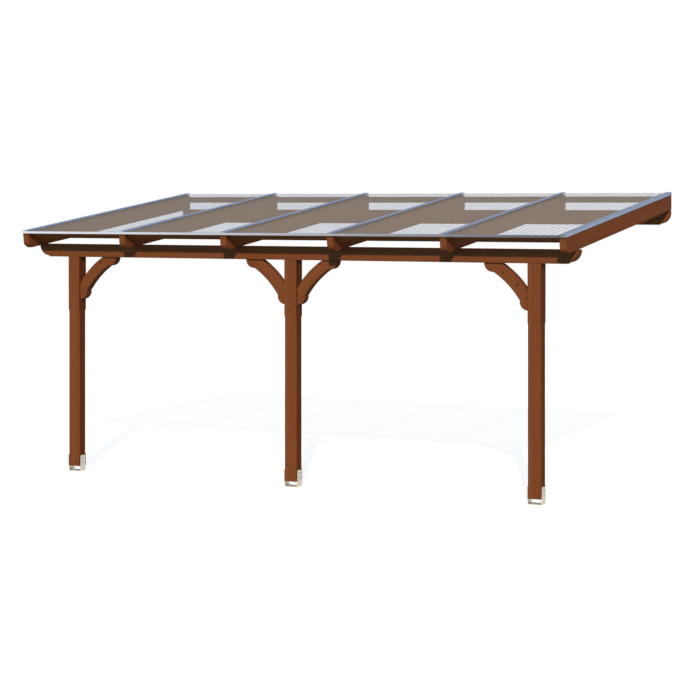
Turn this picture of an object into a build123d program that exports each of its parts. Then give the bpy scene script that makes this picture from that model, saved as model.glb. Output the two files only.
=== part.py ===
"""Attached patio cover: a lean-to roof on three posts and a wall purlin.

Millimetres. X runs along the house wall, +Y points into the wall and +Z is up.
The origin is the middle of the wall purlin's back face, which lies on the wall.
"""

import os
from math import cos, radians, sin, sqrt, tan

from build123d import *

# Roof plan
RAFTER_COUNT = 6
RAFTER_SPACING = 1070
RAFTER_WIDTH = 60
RAFTER_HEIGHT = 140
ROOF_DEPTH = 2956
PITCH = 7

# Supports
POST_SIZE = 120
POST_LENGTH = 1980
POST_SPACING = 2320
SHOE_GAP = 50
FRONT_PURLIN_SIZE = 120
FRONT_OVERHANG = 278
FRONT_SEAT_DEPTH = 4
WALL_PURLIN_DEPTH = 60
WALL_PURLIN_HEIGHT = 140
WALL_PURLIN_TOP = 2470

# Stopped chamfers of the posts
CHAMFER = 15
CHAMFER_RUN_OUT = 10
FOOT_BLOCK = 100
HEAD_BLOCK = 500

# Rounded ends of rafters and purlins: a quarter round that stops at a small nib
NIB = 10
RAFTER_NOSE = 50
PURLIN_NOSE = 105

# Small chamfer on the planed timbers' long edges
ARRIS = 3

# Knee braces, measured from the corner between post and purlin
BRACE_WIDTH = 104
BRACE_DEPTH = 80
BRACE_REACH = 400
BRACE_NOSE = 78
BRACE_ARC = 800
BRACE_THROAT = 260

# Post shoes
SHOE_PLATE = 5
SHOE_WIDTH = 80
SHOE_RISE = 100
SHOE_BEND = 8
SHOE_CORNER = 10
SHOE_HOLE = 14
SHOE_HOLE_SPACING = 70

# Rubber strips on the rafters, which the sheets and the bars' legs stand on
STRIP_WIDTH = 50
STRIP_THICKNESS = 4

# Twin-wall sheets
SHEET_THICKNESS = 16
SHEET_SKIN = 1.2
SHEET_GAP = 20
SHEET_OVERHANG = 18
CELLS_PER_SHEET = 16

# Edge trims on the sheets' ends
TRIM_WALL = 2
TRIM_LEG = 18

# Glazing bars: a cap with two ridges beside a screw groove, on two legs between the sheets
BAR_WIDTH = 60
BAR_HEIGHT = 26
BAR_WALL = 2
BAR_GASKET = 2.5
BAR_LIP = 3
BAR_RIDGE_OUTSIDE = 15
BAR_RIDGE_INSIDE = 9
BAR_GROOVE = 6
BAR_GROOVE_DEPTH = 4
BAR_LEG_SPACING = 8
BAR_FLANGE_DROP = 1
GASKET_WIDTH = 8
GASKET_INSET = 2

# Closing timber between the rafters
FRONT_BATTEN_SETBACK = 60
FRONT_BATTEN_HEIGHT = 50
FRONT_BATTEN_DEPTH = 40
WALL_BATTEN_THICKNESS = 24
WALL_BATTEN_HEIGHT = 60
WALL_BATTEN_BOTTOM = 2543

# Sizes that follow from the ones above
SLOPE = tan(radians(PITCH))
GROUND = WALL_PURLIN_HEIGHT / 2 - WALL_PURLIN_TOP
ROOF_WIDTH = (RAFTER_COUNT - 1) * RAFTER_SPACING + RAFTER_WIDTH
RAFTER_FRONT = -ROOF_DEPTH
PURLIN_FRONT = RAFTER_FRONT + FRONT_OVERHANG
POST_BOTTOM = GROUND + SHOE_GAP
POST_TOP = POST_BOTTOM + POST_LENGTH
PURLIN_TOP = POST_TOP + FRONT_PURLIN_SIZE
RAFTER_UNDERSIDE = PURLIN_TOP - FRONT_SEAT_DEPTH - FRONT_OVERHANG * SLOPE
RAFTER_TOP = RAFTER_UNDERSIDE + RAFTER_HEIGHT / cos(radians(PITCH))
SLOPE_LENGTH = ROOF_DEPTH / cos(radians(PITCH))

RAFTER_CENTRES = [(n - (RAFTER_COUNT - 1) / 2) * RAFTER_SPACING for n in range(RAFTER_COUNT)]
BAY_CENTRES = [(left + right) / 2 for left, right in zip(RAFTER_CENTRES, RAFTER_CENTRES[1:])]
POST_CENTRES = {"left": -POST_SPACING, "middle": 0, "right": POST_SPACING}


def save(part, name):
    """Label a finished piece and write it as one STEP file."""
    part.label = name
    export_step(part, f"parts/{name}.step")


def roof_side(x, lift=0):
    """Plane that looks along the wall at x: its X runs up the slope and its Y stands square to it.

    Its origin is over the rafter nose's top edge, lifted square to the slope.
    """
    up_slope = Vector(0, cos(radians(PITCH)), sin(radians(PITCH)))
    out_of_roof = Vector(0, -sin(radians(PITCH)), cos(radians(PITCH)))
    origin = Vector(x, RAFTER_FRONT, RAFTER_TOP) + out_of_roof * lift
    return Plane(origin=origin, x_dir=up_slope, z_dir=(1, 0, 0))


def roof_section(distance, lift=0):
    """Plane square to the slope, a distance up it from the rafter noses: X along the wall, Y out of the roof."""
    side = roof_side(0, lift)
    return Plane(origin=side.origin + side.x_dir * distance, x_dir=(1, 0, 0), z_dir=side.x_dir * -1)


def make_post(name, x):
    """Square post whose long edges are chamfered between a foot block and a head block."""
    with BuildPart() as post:
        with Locations((x, PURLIN_FRONT + POST_SIZE / 2, POST_BOTTOM)):
            Box(POST_SIZE, POST_SIZE, POST_LENGTH, align=(Align.CENTER, Align.CENTER, Align.MIN))
        chamfer(post.edges().filter_by(Axis.Z), length=ARRIS)
        start = FOOT_BLOCK
        end = POST_LENGTH - HEAD_BLOCK
        depth = CHAMFER / sqrt(2)
        for side_x in (-1, 1):
            for side_y in (-1, 1):
                corner = (
                    x + side_x * POST_SIZE / 2,
                    PURLIN_FRONT + POST_SIZE / 2 + side_y * POST_SIZE / 2,
                    POST_BOTTOM,
                )
                with BuildSketch(Plane(origin=corner, x_dir=(0, 0, 1), z_dir=(-side_y, side_x, 0))):
                    with BuildLine():
                        Polyline(
                            (start, CHAMFER),
                            (start, 0),
                            (start + CHAMFER_RUN_OUT, -depth),
                            (end - CHAMFER_RUN_OUT, -depth),
                            (end, 0),
                            (end, CHAMFER),
                            close=True,
                        )
                    make_face()
                extrude(amount=CHAMFER, both=True, mode=Mode.SUBTRACT)
    save(post.part, name)


def make_shoe(name, x):
    """U-shaped steel shoe: a base plate on the ground and two cheeks on the post's sides."""
    y = PURLIN_FRONT + POST_SIZE / 2
    outer = POST_SIZE / 2 + SHOE_PLATE
    top = SHOE_GAP + SHOE_RISE
    with BuildPart() as shoe:
        with BuildSketch(Plane.XZ.offset(-y - SHOE_WIDTH / 2)):
            with Locations((x, GROUND)):
                Rectangle(2 * outer, top, align=(Align.CENTER, Align.MIN))
            with Locations((x, GROUND + SHOE_PLATE)):
                Rectangle(POST_SIZE, top, align=(Align.CENTER, Align.MIN), mode=Mode.SUBTRACT)
        extrude(amount=SHOE_WIDTH)
        base_edges = shoe.edges().filter_by(Axis.Y).group_by(Axis.Z)[0]
        fillet(base_edges, radius=SHOE_BEND)
        top_corners = shoe.edges().filter_by(Axis.X).group_by(Axis.Z)[-1]
        fillet(top_corners, radius=SHOE_CORNER)
        with Locations((x, y, GROUND + SHOE_PLATE)):
            with GridLocations(SHOE_HOLE_SPACING, 1, 2, 1):
                Hole(radius=SHOE_HOLE / 2)
    save(shoe.part, name)


def make_purlin(name, depth, height, front, top):
    """Beam over the full roof width, both ends rounded under and stopped at a nib."""
    half = ROOF_WIDTH / 2
    bottom = top - height
    arc_end = bottom + NIB
    arc_start = arc_end + PURLIN_NOSE
    with BuildPart() as purlin:
        with BuildSketch(Plane.XZ.offset(-front)):
            with BuildLine():
                right_nose = RadiusArc((half, arc_start), (half - PURLIN_NOSE, arc_end), PURLIN_NOSE)
                Polyline(
                    right_nose @ 1,
                    (half - PURLIN_NOSE, bottom),
                    (PURLIN_NOSE - half, bottom),
                    (PURLIN_NOSE - half, arc_end),
                )
                RadiusArc((PURLIN_NOSE - half, arc_end), (-half, arc_start), PURLIN_NOSE)
                Polyline((-half, arc_start), (-half, top), (half, top), right_nose @ 0)
            make_face()
        extrude(amount=-depth)
        chamfer(purlin.faces().filter_by(Axis.Y).edges(), length=ARRIS)
    save(purlin.part, name)


def make_brace(name, corner_x, side):
    """Knee brace between a post's side face and the purlin's underside, arched on two equal radii."""
    centre = (BRACE_THROAT + BRACE_ARC) / sqrt(2)
    inner_centre = centre - BRACE_WIDTH / sqrt(2)
    nose_centre = BRACE_REACH - BRACE_NOSE
    inner_reach = inner_centre - sqrt(BRACE_ARC**2 - inner_centre**2)
    inner_throat = (BRACE_THROAT - BRACE_WIDTH) / sqrt(2)
    step = centre - sqrt(BRACE_ARC**2 - (centre - nose_centre) ** 2)
    middle = PURLIN_FRONT + POST_SIZE / 2

    def at(out, down):
        """Point a distance out from the post and a distance below the purlin."""
        return (side * out, -down)

    with BuildPart() as brace:
        with BuildSketch(Plane(origin=(corner_x, middle, POST_TOP), x_dir=(1, 0, 0), z_dir=(0, -1, 0))):
            with BuildLine():
                Line(at(inner_reach, 0), at(BRACE_REACH, 0))
                RadiusArc(at(BRACE_REACH, 0), at(nose_centre, BRACE_NOSE), side * BRACE_NOSE)
                Line(at(nose_centre, BRACE_NOSE), at(nose_centre, step))
                ThreePointArc(
                    at(nose_centre, step),
                    at(BRACE_THROAT / sqrt(2), BRACE_THROAT / sqrt(2)),
                    at(step, nose_centre),
                )
                Line(at(step, nose_centre), at(BRACE_NOSE, nose_centre))
                RadiusArc(at(BRACE_NOSE, nose_centre), at(0, BRACE_REACH), side * BRACE_NOSE)
                Line(at(0, BRACE_REACH), at(0, inner_reach))
                ThreePointArc(at(0, inner_reach), at(inner_throat, inner_throat), at(inner_reach, 0))
            make_face()
        extrude(amount=BRACE_DEPTH / 2, both=True)
        curves = brace.faces().filter_by(Axis.Y).edges().filter_by(GeomType.CIRCLE)
        chamfer(curves.filter_by(lambda edge: edge.radius > BRACE_ARC / 2), length=ARRIS)
    save(brace.part, name)


def make_rafter(name, x):
    """Rafter with a rounded nose, a seat on each purlin and a plumb cut at the wall."""
    with BuildPart() as rafter:
        with BuildSketch(roof_side(x - RAFTER_WIDTH / 2)):
            with BuildLine():
                Polyline(
                    (RAFTER_NOSE, NIB - RAFTER_HEIGHT),
                    (RAFTER_NOSE, -RAFTER_HEIGHT),
                    (SLOPE_LENGTH + RAFTER_HEIGHT, -RAFTER_HEIGHT),
                    (SLOPE_LENGTH + RAFTER_HEIGHT, 0),
                    (0, 0),
                    (0, RAFTER_NOSE + NIB - RAFTER_HEIGHT),
                )
                RadiusArc(
                    (0, RAFTER_NOSE + NIB - RAFTER_HEIGHT),
                    (RAFTER_NOSE, NIB - RAFTER_HEIGHT),
                    -RAFTER_NOSE,
                )
            make_face()
        extrude(amount=RAFTER_WIDTH)
        chamfer(rafter.faces().filter_by(Axis.X).edges(), length=ARRIS)
        seats = (
            (PURLIN_FRONT, PURLIN_TOP, FRONT_PURLIN_SIZE),
            (-WALL_PURLIN_DEPTH, WALL_PURLIN_HEIGHT / 2, WALL_PURLIN_DEPTH),
        )
        for front, top, depth in seats:
            with Locations((x, front, top)):
                Box(
                    RAFTER_WIDTH,
                    depth,
                    RAFTER_HEIGHT / 2,
                    align=(Align.CENTER, Align.MIN, Align.MAX),
                    mode=Mode.SUBTRACT,
                )
        split(bisect_by=Plane.XZ, keep=Keep.TOP)
    save(rafter.part, name)


def make_sheet(name, x):
    """Twin-wall sheet: two thin skins joined by ribs that run up the slope."""
    width = RAFTER_SPACING - SHEET_GAP
    end = SLOPE_LENGTH - SHEET_THICKNESS * SLOPE - TRIM_WALL
    pitch = (width - SHEET_SKIN) / CELLS_PER_SHEET
    with BuildPart() as sheet:
        with BuildSketch(roof_section(TRIM_WALL - SHEET_OVERHANG, STRIP_THICKNESS)):
            with Locations((x, SHEET_THICKNESS / 2)):
                Rectangle(width, SHEET_THICKNESS)
                with GridLocations(pitch, 1, CELLS_PER_SHEET, 1):
                    Rectangle(pitch - SHEET_SKIN, SHEET_THICKNESS - 2 * SHEET_SKIN, mode=Mode.SUBTRACT)
        extrude(amount=-(end - TRIM_WALL + SHEET_OVERHANG))
    save(sheet.part, name)


def cap_outline(x):
    """Points of the glazing bar's cap in section, from its left lip over both ridges to its right lip."""
    lip = SHEET_THICKNESS + BAR_GASKET
    right = [
        (BAR_GROOVE, BAR_HEIGHT - BAR_GROOVE_DEPTH),
        (BAR_RIDGE_INSIDE, BAR_HEIGHT),
        (BAR_RIDGE_OUTSIDE, BAR_HEIGHT),
        (BAR_WIDTH / 2, lip + BAR_LIP),
        (BAR_WIDTH / 2, lip),
    ]
    left = [(-out, up) for out, up in reversed(right)]
    return [(x + out, up) for out, up in left + right]


def make_bar(name, x, outer_side):
    """Glazing bar with a closed front end; the outer two also turn down over the roof's side."""
    lip = SHEET_THICKNESS + BAR_GASKET
    flange_x = x + outer_side * (BAR_WIDTH + BAR_WALL) / 2
    with BuildPart() as bar:
        with BuildSketch(roof_section(-SHEET_OVERHANG, STRIP_THICKNESS)):
            with BuildLine():
                Polyline(*cap_outline(x), close=True)
            make_face()
            with Locations((x, 0)):
                with GridLocations(BAR_LEG_SPACING, 1, 2, 1):
                    Rectangle(BAR_WALL, lip, align=(Align.CENTER, Align.MIN))
            if outer_side:
                with Locations((flange_x, -BAR_FLANGE_DROP)):
                    Rectangle(BAR_WALL, lip + BAR_LIP + BAR_FLANGE_DROP, align=(Align.CENTER, Align.MIN))
        extrude(amount=-(SLOPE_LENGTH + SHEET_OVERHANG + BAR_HEIGHT))
        with BuildSketch(roof_section(-SHEET_OVERHANG, STRIP_THICKNESS)):
            with Locations((x, lip)):
                Rectangle(SHEET_GAP - 1, lip + TRIM_WALL, align=(Align.CENTER, Align.MAX))
            if outer_side:
                with Locations((x, -BAR_FLANGE_DROP)):
                    side_align = Align.MIN if outer_side > 0 else Align.MAX
                    Rectangle(BAR_WIDTH / 2, lip + BAR_FLANGE_DROP, align=(side_align, Align.MIN))
        extrude(amount=-BAR_WALL)
        split(bisect_by=Plane.XZ, keep=Keep.TOP)
    save(bar.part, name)


def make_support_strips():
    """Rubber strips on the rafters' top faces, from the noses to the wall."""
    with BuildPart() as strips:
        with BuildSketch(roof_section(TRIM_WALL)):
            for x in RAFTER_CENTRES:
                with Locations((x, 0)):
                    Rectangle(STRIP_WIDTH, STRIP_THICKNESS, align=(Align.CENTER, Align.MIN))
        extrude(amount=-(SLOPE_LENGTH + STRIP_THICKNESS))
        split(bisect_by=Plane.XZ, keep=Keep.TOP)
    save(strips.part, "support_strips")


def make_bar_gaskets():
    """Rubber gaskets that the caps' lips press on the sheets, clear of the trims at both ends."""
    start = TRIM_WALL + TRIM_LEG - SHEET_OVERHANG
    end = SLOPE_LENGTH - SHEET_THICKNESS * SLOPE - TRIM_LEG - TRIM_WALL
    reach = BAR_WIDTH / 2 - GASKET_INSET - GASKET_WIDTH / 2
    with BuildPart() as gaskets:
        with BuildSketch(roof_section(start, STRIP_THICKNESS)):
            for left, right in zip(RAFTER_CENTRES, RAFTER_CENTRES[1:]):
                with Locations((left + reach, SHEET_THICKNESS), (right - reach, SHEET_THICKNESS)):
                    Rectangle(GASKET_WIDTH, BAR_GASKET, align=(Align.CENTER, Align.MIN))
        extrude(amount=start - end)
    save(gaskets.part, "bar_gaskets")


def make_front_trim():
    """U-shaped strips on the sheets' front edges."""
    width = RAFTER_SPACING - SHEET_GAP
    height = SHEET_THICKNESS + 2 * TRIM_WALL
    with BuildPart() as trim:
        for x in BAY_CENTRES:
            with BuildSketch(roof_side(x - width / 2, STRIP_THICKNESS)):
                with Locations((-SHEET_OVERHANG, -TRIM_WALL)):
                    Rectangle(TRIM_LEG, height, align=Align.MIN)
                with Locations((TRIM_WALL - SHEET_OVERHANG, 0)):
                    Rectangle(TRIM_LEG, SHEET_THICKNESS, align=Align.MIN, mode=Mode.SUBTRACT)
            extrude(amount=width)
    save(trim.part, "front_edge_trim")


def make_rear_trim():
    """L-shaped strips on the sheets' rear edges, against the wall."""
    width = RAFTER_SPACING - SHEET_GAP
    end = SLOPE_LENGTH - SHEET_THICKNESS * SLOPE
    with BuildPart() as trim:
        for x in BAY_CENTRES:
            with BuildSketch(roof_side(x - width / 2, STRIP_THICKNESS)):
                with Locations((end, 0)):
                    Rectangle(TRIM_WALL, SHEET_THICKNESS + TRIM_WALL, align=(Align.MAX, Align.MIN))
                with Locations((end, SHEET_THICKNESS)):
                    Rectangle(TRIM_LEG, TRIM_WALL, align=(Align.MAX, Align.MIN))
            extrude(amount=width)
    save(trim.part, "rear_edge_trim")


def make_front_batten(name, x):
    """Batten that closes one bay under the sheet, a little behind the rafter noses."""
    length = RAFTER_SPACING - RAFTER_WIDTH
    with BuildPart() as batten:
        with BuildSketch(roof_side(x - length / 2)):
            with Locations((FRONT_BATTEN_SETBACK, 0)):
                Rectangle(FRONT_BATTEN_DEPTH, FRONT_BATTEN_HEIGHT, align=(Align.MIN, Align.MAX))
        extrude(amount=length)
        chamfer(batten.edges().filter_by(Axis.X), length=ARRIS)
    save(batten.part, name)


def make_wall_batten(name, x):
    """Board across one bay at the wall, with a narrow gap left over it and a wide one under it."""
    length = RAFTER_SPACING - RAFTER_WIDTH
    with BuildPart() as batten:
        with Locations((x, 0, GROUND + WALL_BATTEN_BOTTOM)):
            Box(
                length,
                WALL_BATTEN_THICKNESS,
                WALL_BATTEN_HEIGHT,
                align=(Align.CENTER, Align.MAX, Align.MIN),
            )
        chamfer(batten.edges().filter_by(Axis.X), length=ARRIS)
    save(batten.part, name)


os.makedirs("parts", exist_ok=True)

for place, centre in POST_CENTRES.items():
    make_post(f"post_{place}", centre)
    make_shoe(f"shoe_{place}", centre)

make_purlin("front_purlin", FRONT_PURLIN_SIZE, FRONT_PURLIN_SIZE, PURLIN_FRONT, PURLIN_TOP)
make_purlin("wall_purlin", WALL_PURLIN_DEPTH, WALL_PURLIN_HEIGHT, -WALL_PURLIN_DEPTH, WALL_PURLIN_HEIGHT / 2)

make_brace("brace_left", -POST_SPACING + POST_SIZE / 2, 1)
make_brace("brace_middle_left", -POST_SIZE / 2, -1)
make_brace("brace_middle_right", POST_SIZE / 2, 1)
make_brace("brace_right", POST_SPACING - POST_SIZE / 2, -1)

for number, centre in enumerate(RAFTER_CENTRES, start=1):
    make_rafter(f"rafter_{number}", centre)
    outer_side = {1: -1, RAFTER_COUNT: 1}.get(number, 0)
    make_bar(f"glazing_bar_{number}", centre, outer_side)

for number, centre in enumerate(BAY_CENTRES, start=1):
    make_sheet(f"roof_sheet_{number}", centre)
    make_front_batten(f"front_batten_{number}", centre)
    make_wall_batten(f"wall_batten_{number}", centre)

make_support_strips()
make_bar_gaskets()
make_front_trim()
make_rear_trim()
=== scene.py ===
"""Looks of the attached patio cover.

Brown stained timber, clear twin-wall roof sheets, aluminium glazing bars and zinc-coated post shoes.
Metres. X runs along the house wall, +Y points into the wall, +Z is up, and the origin is on the wall
purlin's back.
"""

import math

import bmesh
import bpy
import numpy as np
from mathutils import Euler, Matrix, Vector


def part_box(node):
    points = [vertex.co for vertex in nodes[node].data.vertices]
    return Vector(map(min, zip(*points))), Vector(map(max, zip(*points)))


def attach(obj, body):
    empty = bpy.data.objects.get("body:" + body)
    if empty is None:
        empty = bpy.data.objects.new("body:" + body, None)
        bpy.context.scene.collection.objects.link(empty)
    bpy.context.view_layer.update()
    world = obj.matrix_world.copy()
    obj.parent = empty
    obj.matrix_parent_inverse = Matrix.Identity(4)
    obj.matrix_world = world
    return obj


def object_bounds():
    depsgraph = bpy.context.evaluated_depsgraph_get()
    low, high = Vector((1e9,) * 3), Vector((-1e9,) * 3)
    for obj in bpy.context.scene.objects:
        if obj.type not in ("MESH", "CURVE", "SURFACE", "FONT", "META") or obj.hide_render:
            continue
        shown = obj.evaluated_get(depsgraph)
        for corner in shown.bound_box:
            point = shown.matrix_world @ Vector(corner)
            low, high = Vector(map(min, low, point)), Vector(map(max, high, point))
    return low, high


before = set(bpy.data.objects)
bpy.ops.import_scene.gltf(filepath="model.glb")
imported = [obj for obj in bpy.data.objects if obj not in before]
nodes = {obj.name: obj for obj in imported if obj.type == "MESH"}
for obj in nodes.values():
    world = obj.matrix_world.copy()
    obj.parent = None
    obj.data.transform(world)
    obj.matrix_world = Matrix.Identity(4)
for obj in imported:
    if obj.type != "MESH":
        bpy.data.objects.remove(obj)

cad_low, cad_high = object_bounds()

# Roof slope, the plane of the rafter tops, and the bars' screw grooves over it
PITCH = math.radians(7)
rafter_low, rafter_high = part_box("rafter_1")
NOSE_Y = rafter_low.y
NOSE_TOP = rafter_high.z - (rafter_high.y - rafter_low.y) * math.tan(PITCH)
SLOPE_LENGTH = (rafter_high.y - rafter_low.y) / math.cos(PITCH)
STRIP_THICKNESS = 0.004
GROOVE_OVER_STRIP = 0.022
GROOVE_FLOOR = STRIP_THICKNESS + GROOVE_OVER_STRIP

# The photograph's frame and camera: level, turned left of the wall's normal, its frame shifted down
PHOTO_SIZE = 696
SENSOR = 36.0
CAMERA_PLACE = (8.0505, -17.811, 0.1324)
CAMERA_TURN = 0.4587
FOCAL_PIXELS = 1917.4
HORIZON_ROW = 203.7

# The photograph's sun, seen from the front
SUN_TURN = math.radians(24)
SUN_HEIGHT = math.radians(27.8)
SUN_SPREAD = math.radians(1.5)
SUN_STRENGTH = 3.1
SUN_COLOUR = (1, 0.81, 0.68)

# Light of the sky in front, and of the three parts laid over it in turn: each has its axis, where on
# that axis of the unit sphere it begins and where it is full, and its light
SKY_STRENGTH = 0.64
SKY_FRONT = (0.36, 1.4, 2.35, 1)
SKY_RIGHT = ("X", 0.1, 0.6, (0.3, 0.31, 0.1, 1))
SKY_ABOVE = ("Z", 0.3, 0.8, (0.64, 0.47, 0.33, 1))
SKY_BEHIND = ("Y", 0.5, 0.9, (1.9, 2.1, 2.3, 1))

# What gloss sees round the object, from straight behind at 0 to straight in front at 1
STUDIO_FRONT = (0.26, -0.966, 0)
GLOSS_ROUND = [
    (0.0, "#ACADB0"),
    (0.05, "#A6ABB2"),
    (0.13, "#72A4E6"),
    (0.35, "#CFDAE6"),
    (0.65, "#FFFFFF"),
    (0.81, "#FFFFFF"),
    (0.91, "#989FA9"),
    (1.0, "#8E96A2"),
]

# Floor, and the part of it in front that gloss sees as a card, brighter than white at the left
WHITE = (1, 1, 1, 1)
FLOOR_WIDTH = 60
FLOOR_TO_LIGHT = "#88949C"
FLOOR_GLOW = 1.3
FLOOR_GLOW_SHARE = 0.6
CARD_PALE = (1.45, 1.4, 1.38, 1)
CARD_DARK = "#252F3A"
CARD_PALE_X = -8
CARD_DARK_X = -1
CARD_BEGINS_Y = -5
CARD_FULL_Y = -8


def linear(hex_colour):
    """Turn an sRGB hex colour into linear RGBA."""
    channels = [int(hex_colour[i : i + 2], 16) / 255 for i in (1, 3, 5)]
    return [c / 12.92 if c <= 0.04045 else ((c + 0.055) / 1.055) ** 2.4 for c in channels] + [1.0]


def node(tree, kind, links=None, stops=(), **settings):
    """Add one shader node: settings are its properties, links its inputs as values or as sockets.

    The stops of a colour ramp are each a position and an sRGB hex colour.
    """
    made = tree.nodes.new("ShaderNode" + kind)
    for name, value in settings.items():
        setattr(made, name, value)
    for name, value in (links or {}).items():
        socket = made.inputs[name]
        if isinstance(value, bpy.types.NodeSocket):
            tree.links.new(value, socket)
        else:
            socket.default_value = value
    while stops and len(made.color_ramp.elements) < len(stops):
        made.color_ramp.elements.new(0.5)
    for number, (position, colour) in enumerate(stops):
        made.color_ramp.elements[number].position = position
        made.color_ramp.elements[number].color = linear(colour)
    return made


def material(name):
    """New node material with a Principled shader; returns the material, its tree and that shader."""
    made = bpy.data.materials.new(name)
    made.use_nodes = True
    return made, made.node_tree, made.node_tree.nodes["Principled BSDF"]


def cells(long, wide):
    """Scale of a pattern whose cells have this length along its X and this width across it, in metres."""
    return (1 / long, 1 / wide, 1 / wide)


def dress(obj, made):
    """Give an object one material."""
    obj.data.materials.clear()
    obj.data.materials.append(made)


# Timber finish

BROWN_STAIN = [(0.3, "#7A4426"), (0.5, "#814928"), (0.72, "#884F2D")]
KNOT_BROWN = "#4A2411"
GLUE_BROWN = "#6A381D"
STAIN_GLOSS = 0.03

# Glued boards: their height, how far the grain of each is shifted, the share of its own tone, and how
# far the glue line's brown goes from the joint before it fades and where it has faded
LAMELLA = 0.04
BOARD_SHIFT = (9.0, 0.09, 0.05)
BOARD_TONE_SHARE = 0.2
GLUE_HALF = 0.0004
GLUE_FADED = 0.001

# Year rings: early wood is pale and late wood dark, round a pith beside the board
RING_PITCH = 0.0045
RING_SHADES = [(0.0, "#5A5A5A"), (0.12, "#FFFFFF"), (0.6, "#DCDCDC"), (0.92, "#4C4C4C")]
RING_SHARE = 0.22
RING_WANDER = (0, 0.03, 0.03)
PITH_OFFSET = (0, 0.01, 0.012)

# Knots: mean spacing, the distance from the middle at which that spacing holds, their radii, the shares
# of the radius between which the edge fades, and where and by how much the rings bend round them
KNOT_SPACING = 0.13
KNOT_REACH = 0.06
KNOT_SMALL = 0.0026
KNOT_LARGE = 0.0075
KNOT_OUTSIDE = 1.1
KNOT_INSIDE = 0.7
SWIRL_OUTSIDE = 0.039
SWIRL_INSIDE = 0.0065
SWIRL_BEND = 0.012

# Relief of the planed face
RELIEF_DEPTH = 0.0003
RELIEF_STRENGTH = 0.35
RING_RELIEF = 0.6

# Turns that lay the grain along the pattern's X
ALONG_X = (0, 0, 0)
ALONG_Z = (0, math.pi / 2, 0)
UP_SLOPE = (-PITCH, 0, -math.pi / 2)
UP_RIGHT = (0, math.pi / 4, 0)
UP_LEFT = (0, -math.pi / 4, 0)


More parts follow.
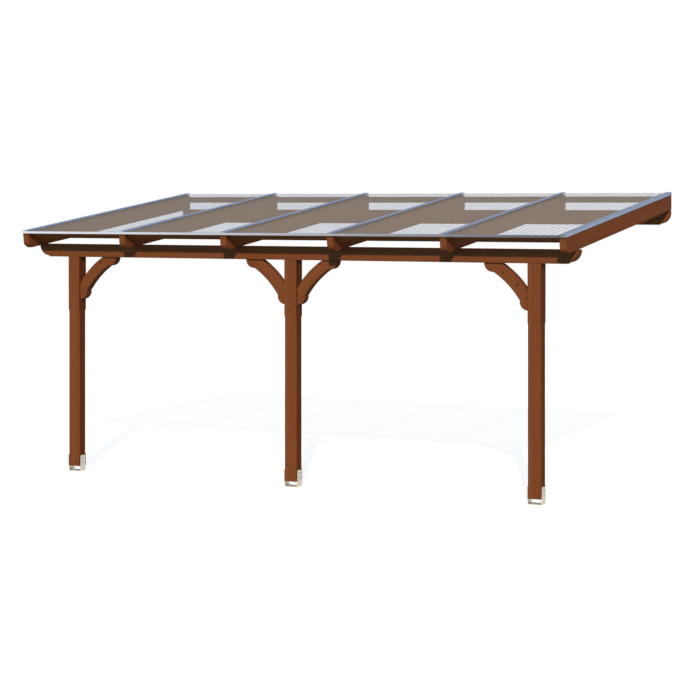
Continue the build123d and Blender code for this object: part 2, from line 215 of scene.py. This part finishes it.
def stained_spruce(name, turn, centre, seed):
    """Laminated spruce, planed, under a brown satin wood stain.

    It gives the eye a warm red-brown with streaks along the grain, rings on the ends, small dark knots,
    and boards of slightly unlike tone glued every 40 mm. turn lays the grain along the pattern's X.
    """
    made, tree, shader = material(name)
    middle = Euler(turn).to_matrix() @ centre
    place = node(tree, "TexCoord").outputs["Object"]
    grain = node(tree, "Mapping", {"Vector": place, "Rotation": turn, "Location": -middle}).outputs[0]
    parts = node(tree, "SeparateXYZ", {0: grain})

    # Each glued board has its own number, and from it its own tone, pith and shift along the grain
    height = {0: parts.outputs["Z"], 1: 1 / LAMELLA, 2: seed + 0.5}
    board = node(tree, "Math", height, operation="MULTIPLY_ADD").outputs[0]
    number = node(tree, "Math", {0: board}, operation="FLOOR").outputs[0]
    chance = node(tree, "TexWhiteNoise", {"W": number}, noise_dimensions="1D").outputs
    shift = {0: chance["Color"], 1: BOARD_SHIFT, 2: grain}
    shifted = node(tree, "VectorMath", shift, operation="MULTIPLY_ADD").outputs[0]

    # Slow wander of the grain, 0.14 m across and longer in its own direction
    slow = cells(long=0.625, wide=0.143)
    stretched = node(tree, "Mapping", {"Vector": shifted, "Scale": slow}).outputs[0]
    wander = node(tree, "TexNoise", {"Vector": stretched, "Scale": 1.0, "Detail": 2}).outputs["Color"]

    # Knots 5 to 15 mm wide: branches run out from the piece's middle, so faces show them as round spots
    sides = {0: parts.outputs["Z"], 1: parts.outputs["Y"]}
    angle = node(tree, "Math", sides, operation="ARCTAN2").outputs[0]
    around = node(tree, "Math", {0: angle, 1: KNOT_REACH}, operation="MULTIPLY").outputs[0]
    along = node(tree, "Math", {0: parts.outputs["X"], 1: seed}, operation="ADD").outputs[0]
    unrolled = node(tree, "CombineXYZ", {"X": along, "Y": around}).outputs[0]
    spread = {"Vector": unrolled, "Scale": 1 / KNOT_SPACING}
    branch = node(tree, "TexVoronoi", spread, voronoi_dimensions="2D").outputs
    girth = node(tree, "SeparateColor", {0: branch["Color"]}).outputs[0]
    radii = {"Value": girth, "To Min": KNOT_SMALL / KNOT_SPACING, "To Max": KNOT_LARGE / KNOT_SPACING}
    radius = node(tree, "MapRange", radii).outputs[0]
    near = node(tree, "Math", {0: branch["Distance"], 1: radius}, operation="DIVIDE").outputs[0]
    edge = {"Value": near, "From Min": KNOT_OUTSIDE, "From Max": KNOT_INSIDE}
    knot = node(tree, "MapRange", edge, interpolation_type="SMOOTHSTEP").outputs[0]
    bend = {
        "Value": branch["Distance"],
        "From Min": SWIRL_OUTSIDE / KNOT_SPACING,
        "From Max": SWIRL_INSIDE / KNOT_SPACING,
        "To Max": SWIRL_BEND,
    }
    swirl = node(tree, "MapRange", bend, interpolation_type="SMOOTHSTEP").outputs[0]

    # Year rings round the pith
    waved = {0: wander, 1: RING_WANDER, 2: shifted}
    section = node(tree, "VectorMath", waved, operation="MULTIPLY_ADD").outputs[0]
    beside = {0: section, 1: (0, 1, 1), 2: PITH_OFFSET}
    section = node(tree, "VectorMath", beside, operation="MULTIPLY_ADD").outputs[0]
    reach = node(tree, "VectorMath", {0: section}, operation="LENGTH").outputs["Value"]
    bent = node(tree, "Math", {0: reach, 1: swirl}, operation="ADD").outputs[0]
    turns = node(tree, "Math", {0: bent, 1: 1 / RING_PITCH}, operation="MULTIPLY").outputs[0]
    ring = node(tree, "Math", {0: turns}, operation="FRACT").outputs[0]
    late = node(tree, "ValToRGB", {"Fac": ring}, RING_SHADES).outputs["Color"]

    # Streaks of the stain, 18 mm wide and 0.9 m long: coarser than the rings, so that they show from afar
    streaky = cells(long=0.91, wide=0.0182)
    long_way = node(tree, "Mapping", {"Vector": shifted, "Scale": streaky}).outputs[0]
    streak = node(tree, "TexNoise", {"Vector": long_way, "Scale": 1.0, "Detail": 4, "Roughness": 0.6})
    toned = {0: BOARD_TONE_SHARE, 2: streak.outputs["Fac"], 3: chance["Value"]}
    blend = node(tree, "Mix", toned).outputs[0]
    tone = node(tree, "ValToRGB", {"Fac": blend}, BROWN_STAIN).outputs["Color"]
    rings = {0: RING_SHARE, 6: tone, 7: late}
    ringed = node(tree, "Mix", rings, data_type="RGBA", blend_type="MULTIPLY").outputs[2]
    spots = {0: knot, 6: ringed, 7: linear(KNOT_BROWN)}
    knotted = node(tree, "Mix", spots, data_type="RGBA").outputs[2]

    # Glue lines between the boards, just under 1 mm wide with soft edges
    joint = node(tree, "Math", {0: board, 1: 0.5}, operation="PINGPONG").outputs[0]
    width = {"Value": joint, "From Min": GLUE_HALF / LAMELLA, "From Max": GLUE_FADED / LAMELLA}
    line = node(tree, "MapRange", width).outputs[0]
    lined = {0: line, 6: linear(GLUE_BROWN), 7: knotted}
    glued = node(tree, "Mix", lined, data_type="RGBA").outputs[2]
    tree.links.new(glued, shader.inputs["Base Color"])

    # Raised latewood and fine fibres
    fine = cells(long=0.083, wide=0.00143)
    fibre_way = node(tree, "Mapping", {"Vector": shifted, "Scale": fine}).outputs[0]
    fibre = node(tree, "TexNoise", {"Vector": fibre_way, "Scale": 1.0, "Detail": 2}).outputs["Fac"]
    relief = node(tree, "Math", {0: ring, 1: RING_RELIEF, 2: fibre}, operation="MULTIPLY_ADD").outputs[0]
    raised = {"Height": relief, "Strength": RELIEF_STRENGTH, "Distance": RELIEF_DEPTH}
    tree.links.new(node(tree, "Bump", raised).outputs[0], shader.inputs["Normal"])
    sheen = node(tree, "MapRange", {"Value": fibre, "To Min": 0.6, "To Max": 0.8}).outputs[0]
    tree.links.new(sheen, shader.inputs["Roughness"])
    shader.inputs["Specular IOR Level"].default_value = STAIN_GLOSS
    return made


# Other finishes

POLYCARBONATE_IOR = 1.58
CLEAR_TINT = "#F9FCFF"
VEIL_COLOUR = "#FFDFBC"
VEIL_SQUARE_ON = 0.1
VEIL_LOW_ANGLE = 0.23
SHADE_PER_SKIN = 0.58
OPAL_COVER = 0.25
DRAWN_SPREAD = 0.08
SPANGLE = 0.00833
SPANGLE_SHARE = 0.1


def twin_wall_sheet():
    """Clear extruded polycarbonate: nearly clear seen square on, glossy and milky at a low angle.

    It gives the eye the timber below through a grey veil, and the bars mirrored beside themselves. Its
    shadow is deep, as the skins and ribs turn most of the low sun away. Light is held back where it
    enters a skin, and leaves it freely.
    """
    made, tree, shader = material("clear_extruded_twin_wall")
    tilt = node(tree, "LayerWeight", {"Blend": 0.5}).outputs["Facing"]
    seen = {"From Min": 0.3, "From Max": 0.9, "To Min": VEIL_SQUARE_ON, "To Max": VEIL_LOW_ANGLE}
    veil = node(tree, "MapRange", {"Value": tilt, **seen}).outputs[0]
    shade = node(tree, "LightPath").outputs["Is Shadow Ray"]
    cover = node(tree, "Mix", {0: shade, 2: veil, 3: SHADE_PER_SKIN}).outputs[0]
    leaving = node(tree, "NewGeometry").outputs["Backfacing"]
    cover = node(tree, "Mix", {0: leaving, 2: cover, 3: 0.0}).outputs[0]
    clear = node(tree, "BsdfTransparent", {"Color": linear(CLEAR_TINT)})
    mixed = node(tree, "MixShader", {0: cover, 1: clear.outputs[0], 2: shader.outputs[0]})
    tree.links.new(mixed.outputs[0], tree.nodes["Material Output"].inputs["Surface"])
    shader.inputs["Base Color"].default_value = linear(VEIL_COLOUR)
    shader.inputs["Roughness"].default_value = 0.06
    shader.inputs["IOR"].default_value = POLYCARBONATE_IOR
    shader.inputs["Specular IOR Level"].default_value = 0.2
    return made


def drawn_metal(name, colour, roughness):
    """Drawn metal, anodised or bare: a soft gloss with faint draw lines, about 1 mm wide, up the slope."""
    made, tree, shader = material(name)
    place = node(tree, "TexCoord").outputs["Object"]
    fine = cells(long=0.333, wide=0.00111)
    lines = node(tree, "Mapping", {"Vector": place, "Rotation": UP_SLOPE, "Scale": fine}).outputs[0]
    drawn = node(tree, "TexNoise", {"Vector": lines, "Scale": 1.0, "Detail": 3}).outputs["Fac"]
    spread = {"To Min": roughness - DRAWN_SPREAD, "To Max": roughness + DRAWN_SPREAD}
    gloss = node(tree, "MapRange", {"Value": drawn, **spread}).outputs[0]
    tree.links.new(gloss, shader.inputs["Roughness"])
    shader.inputs["Base Color"].default_value = linear(colour)
    shader.inputs["Metallic"].default_value = 1.0
    return made


def opal_profile():
    """Extruded opal polycarbonate: milky white with faint lines from the die along it.

    It gives the eye a pale edge, and most of the light goes through.
    """
    made, tree, shader = material("opal_extruded_polycarbonate")
    place = node(tree, "TexCoord").outputs["Object"]
    fine = cells(long=0.333, wide=0.00143)
    lines = node(tree, "Mapping", {"Vector": place, "Scale": fine}).outputs[0]
    drawn = node(tree, "TexNoise", {"Vector": lines, "Scale": 1.0, "Detail": 2}).outputs["Fac"]
    gloss = node(tree, "MapRange", {"Value": drawn, "To Min": 0.2, "To Max": 0.35}).outputs[0]
    tree.links.new(gloss, shader.inputs["Roughness"])
    shader.inputs["Base Color"].default_value = linear("#F4EFEA")
    shader.inputs["IOR"].default_value = POLYCARBONATE_IOR
    clear = node(tree, "BsdfTransparent")
    mixed = node(tree, "MixShader", {0: OPAL_COVER, 1: clear.outputs[0], 2: shader.outputs[0]})
    tree.links.new(mixed.outputs[0], tree.nodes["Material Output"].inputs["Surface"])
    return made


def seal_rubber():
    """Extruded EPDM seal rubber: dull and dark grey, with faint lines from the die up the slope."""
    made, tree, shader = material("dark_grey_seal_rubber")
    place = node(tree, "TexCoord").outputs["Object"]
    fine = cells(long=0.5, wide=0.00167)
    lines = node(tree, "Mapping", {"Vector": place, "Rotation": UP_SLOPE, "Scale": fine}).outputs[0]
    drawn = node(tree, "TexNoise", {"Vector": lines, "Scale": 1.0, "Detail": 2}).outputs["Fac"]
    tone = node(tree, "ValToRGB", {"Fac": drawn}, [(0.3, "#3E3F42"), (0.7, "#505155")])
    tree.links.new(tone.outputs["Color"], shader.inputs["Base Color"])
    shader.inputs["Roughness"].default_value = 0.7
    shader.inputs["Specular IOR Level"].default_value = 0.3
    return made


def hot_dip_zinc(name, colour):
    """Hot-dipped zinc on steel: a dull warm grey with spangles about 8 mm wide."""
    made, tree, shader = material(name)
    place = node(tree, "TexCoord").outputs["Object"]
    spangle = node(tree, "TexVoronoi", {"Vector": place, "Scale": 1 / SPANGLE}).outputs["Color"]
    gloss = node(tree, "MapRange", {"Value": spangle, "To Min": 0.42, "To Max": 0.6}).outputs[0]
    tree.links.new(gloss, shader.inputs["Roughness"])
    mottled = {0: SPANGLE_SHARE, 6: linear(colour), 7: spangle}
    tone = node(tree, "Mix", mottled, data_type="RGBA", blend_type="OVERLAY").outputs[2]
    tree.links.new(tone, shader.inputs["Base Color"])
    shader.inputs["Metallic"].default_value = 1.0
    return made


sheet_finish = twin_wall_sheet()
bar_finish = drawn_metal("anodised_aluminium", "#CACCCE", 0.32)
trim_finish = drawn_metal("satin_aluminium", "#C2C8D0", 0.26)
rear_finish = opal_profile()
rubber_finish = seal_rubber()
shoe_finish = hot_dip_zinc("hot_dip_zinc", "#D8D0BC")
bolt_finish = hot_dip_zinc("zinc_plated_bolts", "#B9B8AE")
screw_finish = drawn_metal("stainless_screws", "#BFC2C4", 0.3)

# Finishes and grain by the start of a node's name: a node with no plain finish is timber, and its
# grain runs along X unless GRAIN says otherwise
PLAIN = {
    "roof_sheet": sheet_finish,
    "glazing_bar": bar_finish,
    "front_edge_trim": trim_finish,
    "rear_edge_trim": rear_finish,
    "support_strips": rubber_finish,
    "bar_gaskets": rubber_finish,
    "shoe": shoe_finish,
}
GRAIN = {
    "post": ALONG_Z,
    "rafter": UP_SLOPE,
    "brace_left": UP_RIGHT,
    "brace_middle_right": UP_RIGHT,
    "brace_middle_left": UP_LEFT,
    "brace_right": UP_LEFT,
}

# More glued boards than any piece has, so that no two pieces share a board's number
SEED_STEP = 20

for count, (name, obj) in enumerate(sorted(nodes.items())):
    finish = next((made for start, made in PLAIN.items() if name.startswith(start)), None)
    if finish is None:
        low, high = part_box(name)
        turn = next((way for start, way in GRAIN.items() if name.startswith(start)), ALONG_X)
        finish = stained_spruce("stained_spruce_" + name, turn, (low + high) / 2, SEED_STEP * count)
    dress(obj, finish)


# Fixings

# Heads: points round each ring, angle of a hexagon's side, lobes of a star recess, a direction that no
# head's axis shares, the gap under which points are merged, and the angle over which an edge is sharp
RING_STEPS = 24
HEXAGON = math.pi / 3
LOBES = 6
SLANT = (0.2, 0.3, 0.93)
POLE_MERGE = 1e-6
SHARP_EDGE = math.radians(35)


def unit(vectors):
    """Divide vectors by their length."""
    return vectors / np.linalg.norm(vectors, axis=-1, keepdims=True)


def round_quads(copies, rows, columns):
    """Quads of stacked grids whose columns run round and close on themselves.

    The quad at row r and column c joins the points (r, c), (r, c + 1), (r + 1, c + 1) and (r + 1, c),
    where c + 1 is counted round, and each copy's points follow those of the copy before.
    """
    start = np.arange(copies)[:, None, None] * rows * columns
    row = np.arange(rows - 1)[None, :, None] * columns
    column = np.arange(columns)[None, None, :]
    following = (column + 1) % columns
    corners = [row + column, row + following, row + columns + following, row + columns + column]
    return np.stack([start + corner for corner in corners], axis=-1).reshape(-1, 4)


def turned(profile, places, axis):
    """Turned heads, one at each place, as a function of the profile's ring t and the angle a.

    Ring t stands height(t) up the axis, and its point at angle a lies radius(t) out from it, times
    1 - hexagon(t) * (1 - h(a)) for flats and 1 + lobe(t) * cos(6 a) for a star recess. h(a) is the edge
    of a hexagon inside the unit circle: cos 30 / cos((a mod 60) - 30), in degrees.
    """
    radius, height, hexagon, lobe = np.array(profile, float).T[:, :, None]
    angle = np.arange(RING_STEPS) / RING_STEPS * 2 * np.pi
    flats = np.cos(HEXAGON / 2) / np.cos(angle % HEXAGON - HEXAGON / 2)
    reach = radius * (1 - hexagon * (1 - flats)) * (1 + lobe * np.cos(LOBES * angle))
    axis = unit(np.array(axis, float))
    across = unit(np.cross(axis, SLANT))
    third = np.cross(axis, across)
    ring = across * np.cos(angle)[:, None] + third * np.sin(angle)[:, None]
    points = reach[:, :, None] * ring + height[:, :, None] * axis
    points = np.array(places, float)[:, None, None, :] + points
    return points, round_quads(*points.shape[:3])


def piece(name, points, faces, finish):
    """Make one joined mesh, its poles merged and its faces pointing out, and let it ride on the frame."""
    mesh = bpy.data.meshes.new(name)
    mesh.from_pydata(points.reshape(-1, 3).tolist(), [], faces.tolist())
    shape = bmesh.new()
    shape.from_mesh(mesh)
    bmesh.ops.remove_doubles(shape, verts=shape.verts, dist=POLE_MERGE)
    bmesh.ops.recalc_face_normals(shape, faces=shape.faces)
    shape.to_mesh(mesh)
    shape.free()
    mesh.shade_smooth()
    mesh.set_sharp_from_angle(angle=SHARP_EDGE)
    made = bpy.data.objects.new(name, mesh)
    bpy.context.scene.collection.objects.link(made)
    dress(made, finish)
    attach(made, "root")


def hex_head(thread):
    """Profile of a hexagon head on a round washer, in shares of the thread's diameter.

    Each ring has its radius, its height, and 1 or 0 for flats or none. It has no lobes.
    """
    washer = 0.2 * thread
    top = washer + 0.64 * thread
    return [
        (0, top, 0, 0),
        (0.8 * thread, top, 0, 0),
        (0.98 * thread, top - 0.08 * thread, 1, 0),
        (0.98 * thread, washer, 1, 0),
        (1.1 * thread, washer, 0, 0),
        (1.15 * thread, 0.7 * washer, 0, 0),
        (1.15 * thread, 0, 0, 0),
        (0, 0, 0, 0),
    ]


def star_head(radius, height, washer):
    """Profile of a domed screw head with a star recess, on a washer of this radius.

    Each ring has its radius, its height, no flats, and the depth of its lobes.
    """
    return [
        (0, 0.45 * height, 0, 0),
        (0.34 * radius, 0.45 * height, 0, 0.15),
        (0.38 * radius, 0.98 * height, 0, 0.15),
        (0.6 * radius, height, 0, 0),
        (0.9 * radius, 0.75 * height, 0, 0),
        (radius, 0.35 * height, 0, 0),
        (washer, 0.3 * height, 0, 0),
        (washer, 0, 0, 0),
        (0, 0, 0, 0),
    ]


def on_slope(x, along, up):
    """Point at x, a distance up the slope from the rafter noses and a height square to the rafter tops."""
    y = NOSE_Y + along * math.cos(PITCH) - up * math.sin(PITCH)
    return (x, y, NOSE_TOP + along * math.sin(PITCH) + up * math.cos(PITCH))


def middle_x(name):
    """Middle of a node along the wall."""
    low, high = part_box(name)
    return (low.x + high.x) / 2


OUT_OF_ROOF = (0, -math.sin(PITCH), math.cos(PITCH))
RAFTERS = [middle_x(f"rafter_{number}") for number in range(1, 7)]

# Screws with sealing washers in the bars' grooves
BAR_SCREW_SPACING = 0.3
BAR_SCREW_START = 0.07
BAR_SCREW_RADIUS = 0.0046
BAR_SCREW_HEIGHT = 0.0036
BAR_SCREW_WASHER = 0.0056
screw_places = [
    on_slope(x, along, GROOVE_FLOOR)
    for x in RAFTERS
    for along in np.arange(BAR_SCREW_START, SLOPE_LENGTH - BAR_SCREW_START, BAR_SCREW_SPACING)
]
screw_head = star_head(BAR_SCREW_RADIUS, BAR_SCREW_HEIGHT, BAR_SCREW_WASHER)
points, faces = turned(screw_head, screw_places, OUT_OF_ROOF)
piece("bar_screws", points, faces, screw_finish)

# Bolts through the shoes' cheeks, nuts on their base plates and bolts through the wall purlin
SHOE_THREAD = 0.008
GROUND_THREAD = 0.012
WALL_THREAD = 0.012
SHOE_BOLT_HEIGHTS = (0.078, 0.122)
GROUND_BOLT_SPACING = 0.07
SHOE_PLATE = 0.005
shoes = [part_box("shoe_" + place) for place in ("left", "middle", "right")]

for side, way in (("left", -1), ("right", 1)):
    cheek_places = [
        (low.x if way < 0 else high.x, (low.y + high.y) / 2, low.z + rise)
        for low, high in shoes
        for rise in SHOE_BOLT_HEIGHTS
    ]
    points, faces = turned(hex_head(SHOE_THREAD), cheek_places, (way, 0, 0))
    piece(f"shoe_bolts_{side}", points, faces, bolt_finish)

nut_places = [
    ((low.x + high.x) / 2 + way * GROUND_BOLT_SPACING / 2, (low.y + high.y) / 2, low.z + SHOE_PLATE)
    for low, high in shoes
    for way in (-1, 1)
]
points, faces = turned(hex_head(GROUND_THREAD), nut_places, (0, 0, 1))
piece("ground_bolts", points, faces, bolt_finish)

wall_low, wall_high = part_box("wall_purlin")
wall_places = [((a + b) / 2, wall_low.y, 0) for a, b in zip(RAFTERS, RAFTERS[1:])]
points, faces = turned(hex_head(WALL_THREAD), wall_places, (0, -1, 0))
piece("wall_bolts", points, faces, bolt_finish)


# Surroundings


def seen_ray(tree):
    """1 for a ray from the camera, or from gloss or clear material that shows the background, else 0."""
    paths = node(tree, "LightPath").outputs
    seen = paths["Is Camera Ray"]
    for kind in ("Is Glossy Ray", "Is Transmission Ray"):
        seen = node(tree, "Math", {0: seen, 1: paths[kind]}, operation="MAXIMUM").outputs[0]
    return seen


def make_floor():
    """Plain floor: white to the eye, where it keeps the object's shadow, and a cool mid grey to the light.

    Well in front of the object, gloss sees it pale at the left and dark at the right, as the front
    trims show. Seen from below it is clear, so that the underside shows.
    """
    ground = cad_low.z
    half = FLOOR_WIDTH / 2
    corners = [(-half, -half, ground), (half, -half, ground), (half, half, ground), (-half, half, ground)]
    mesh = bpy.data.meshes.new("floor")
    mesh.from_pydata(corners, [], [(0, 1, 2, 3)])
    floor = bpy.data.objects.new("floor", mesh)
    bpy.context.scene.collection.objects.link(floor)

    made, tree, shader = material("pale_floor")
    shader.inputs["Base Color"].default_value = linear(FLOOR_TO_LIGHT)
    shader.inputs["Roughness"].default_value = 0.9
    shader.inputs["Specular IOR Level"].default_value = 0

    # The card in front, for gloss alone
    place = node(tree, "SeparateXYZ", {0: node(tree, "TexCoord").outputs["Object"]}).outputs
    widths = {"Value": place["X"], "From Min": CARD_PALE_X, "From Max": CARD_DARK_X}
    across = node(tree, "MapRange", widths).outputs[0]
    depths = {"Value": place["Y"], "From Min": CARD_BEGINS_Y, "From Max": CARD_FULL_Y}
    out = node(tree, "MapRange", depths).outputs[0]
    tones = {0: across, 6: CARD_PALE, 7: linear(CARD_DARK)}
    card = node(tree, "Mix", tones, data_type="RGBA").outputs[2]
    gloss = node(tree, "LightPath").outputs["Is Glossy Ray"]
    shown = node(tree, "Math", {0: out, 1: gloss}, operation="MULTIPLY").outputs[0]
    look = node(tree, "Mix", {0: shown, 6: WHITE, 7: card}, data_type="RGBA").outputs[2]

    # Partly lit and partly glowing to the eye, so that it is white and still shows the shadow
    lit = node(tree, "BsdfDiffuse", {"Color": look})
    glow = node(tree, "Emission", {"Color": look, "Strength": FLOOR_GLOW})
    pale = node(tree, "MixShader", {0: FLOOR_GLOW_SHARE, 1: lit.outputs[0], 2: glow.outputs[0]})
    mixed = node(tree, "MixShader", {0: seen_ray(tree), 1: shader.outputs[0], 2: pale.outputs[0]})
    below = node(tree, "NewGeometry").outputs["Backfacing"]
    clear = node(tree, "BsdfTransparent")
    mixed = node(tree, "MixShader", {0: below, 1: mixed.outputs[0], 2: clear.outputs[0]})
    tree.links.new(mixed.outputs[0], tree.nodes["Material Output"].inputs["Surface"])
    dress(floor, made)


def make_sun():
    """One soft warm sun from the front right."""
    sun = bpy.data.lights.new("sun", "SUN")
    sun.energy = SUN_STRENGTH
    sun.color = SUN_COLOUR
    sun.angle = SUN_SPREAD
    holder = bpy.data.objects.new("sun", sun)
    level = math.cos(SUN_HEIGHT)
    towards = Vector((math.sin(SUN_TURN) * level, -math.cos(SUN_TURN) * level, math.sin(SUN_HEIGHT)))
    holder.rotation_mode = "QUATERNION"
    holder.rotation_quaternion = towards.to_track_quat("Z", "Y")
    bpy.context.scene.collection.objects.link(holder)


def make_sky():
    """Soft sky: its light is cool in front, dull at the right, warm above and bright behind.

    The camera sees it white. Gloss sees a grey screen in front, white at the sides and blue-grey behind.
    """
    world = bpy.data.worlds.new("studio")
    world.use_nodes = True
    tree = world.node_tree
    way = node(tree, "TexCoord").outputs["Generated"]
    ways = node(tree, "SeparateXYZ", {0: way}).outputs
    tint = SKY_FRONT
    for axis, begins, full, light in (SKY_RIGHT, SKY_ABOVE, SKY_BEHIND):
        reach = {"Value": ways[axis], "From Min": begins, "From Max": full}
        share = node(tree, "MapRange", reach).outputs[0]
        tint = node(tree, "Mix", {0: share, 6: tint, 7: light}, data_type="RGBA").outputs[2]
    sky = node(tree, "Background", {"Color": tint, "Strength": SKY_STRENGTH})

    ahead = node(tree, "VectorMath", {0: way, 1: STUDIO_FRONT}, operation="DOT_PRODUCT").outputs["Value"]
    share = node(tree, "MapRange", {"Value": ahead, "From Min": -1}).outputs[0]
    mirrored = node(tree, "ValToRGB", {"Fac": share}, GLOSS_ROUND).outputs["Color"]
    gloss = node(tree, "LightPath").outputs["Is Glossy Ray"]
    shown = node(tree, "Mix", {0: gloss, 6: WHITE, 7: mirrored}, data_type="RGBA").outputs[2]
    backdrop = node(tree, "Background", {"Color": shown, "Strength": 1.0})
    mixed = node(tree, "MixShader", {0: seen_ray(tree), 1: sky.outputs[0], 2: backdrop.outputs[0]})
    tree.links.new(mixed.outputs[0], tree.nodes["World Output"].inputs["Surface"])
    bpy.context.scene.world = world


def make_camera():
    """Level camera at the photograph's place."""
    lens = bpy.data.cameras.new("camera")
    lens.sensor_width = SENSOR
    lens.lens = FOCAL_PIXELS / PHOTO_SIZE * SENSOR
    lens.shift_y = (HORIZON_ROW - PHOTO_SIZE / 2) / PHOTO_SIZE
    camera = bpy.data.objects.new("camera", lens)
    camera.location = CAMERA_PLACE
    camera.rotation_euler = (math.pi / 2, 0, CAMERA_TURN)
    bpy.context.scene.collection.objects.link(camera)
    bpy.context.scene.camera = camera


make_floor()
make_sun()
make_sky()
make_camera()
bpy.context.scene.view_settings.view_transform = "Standard"
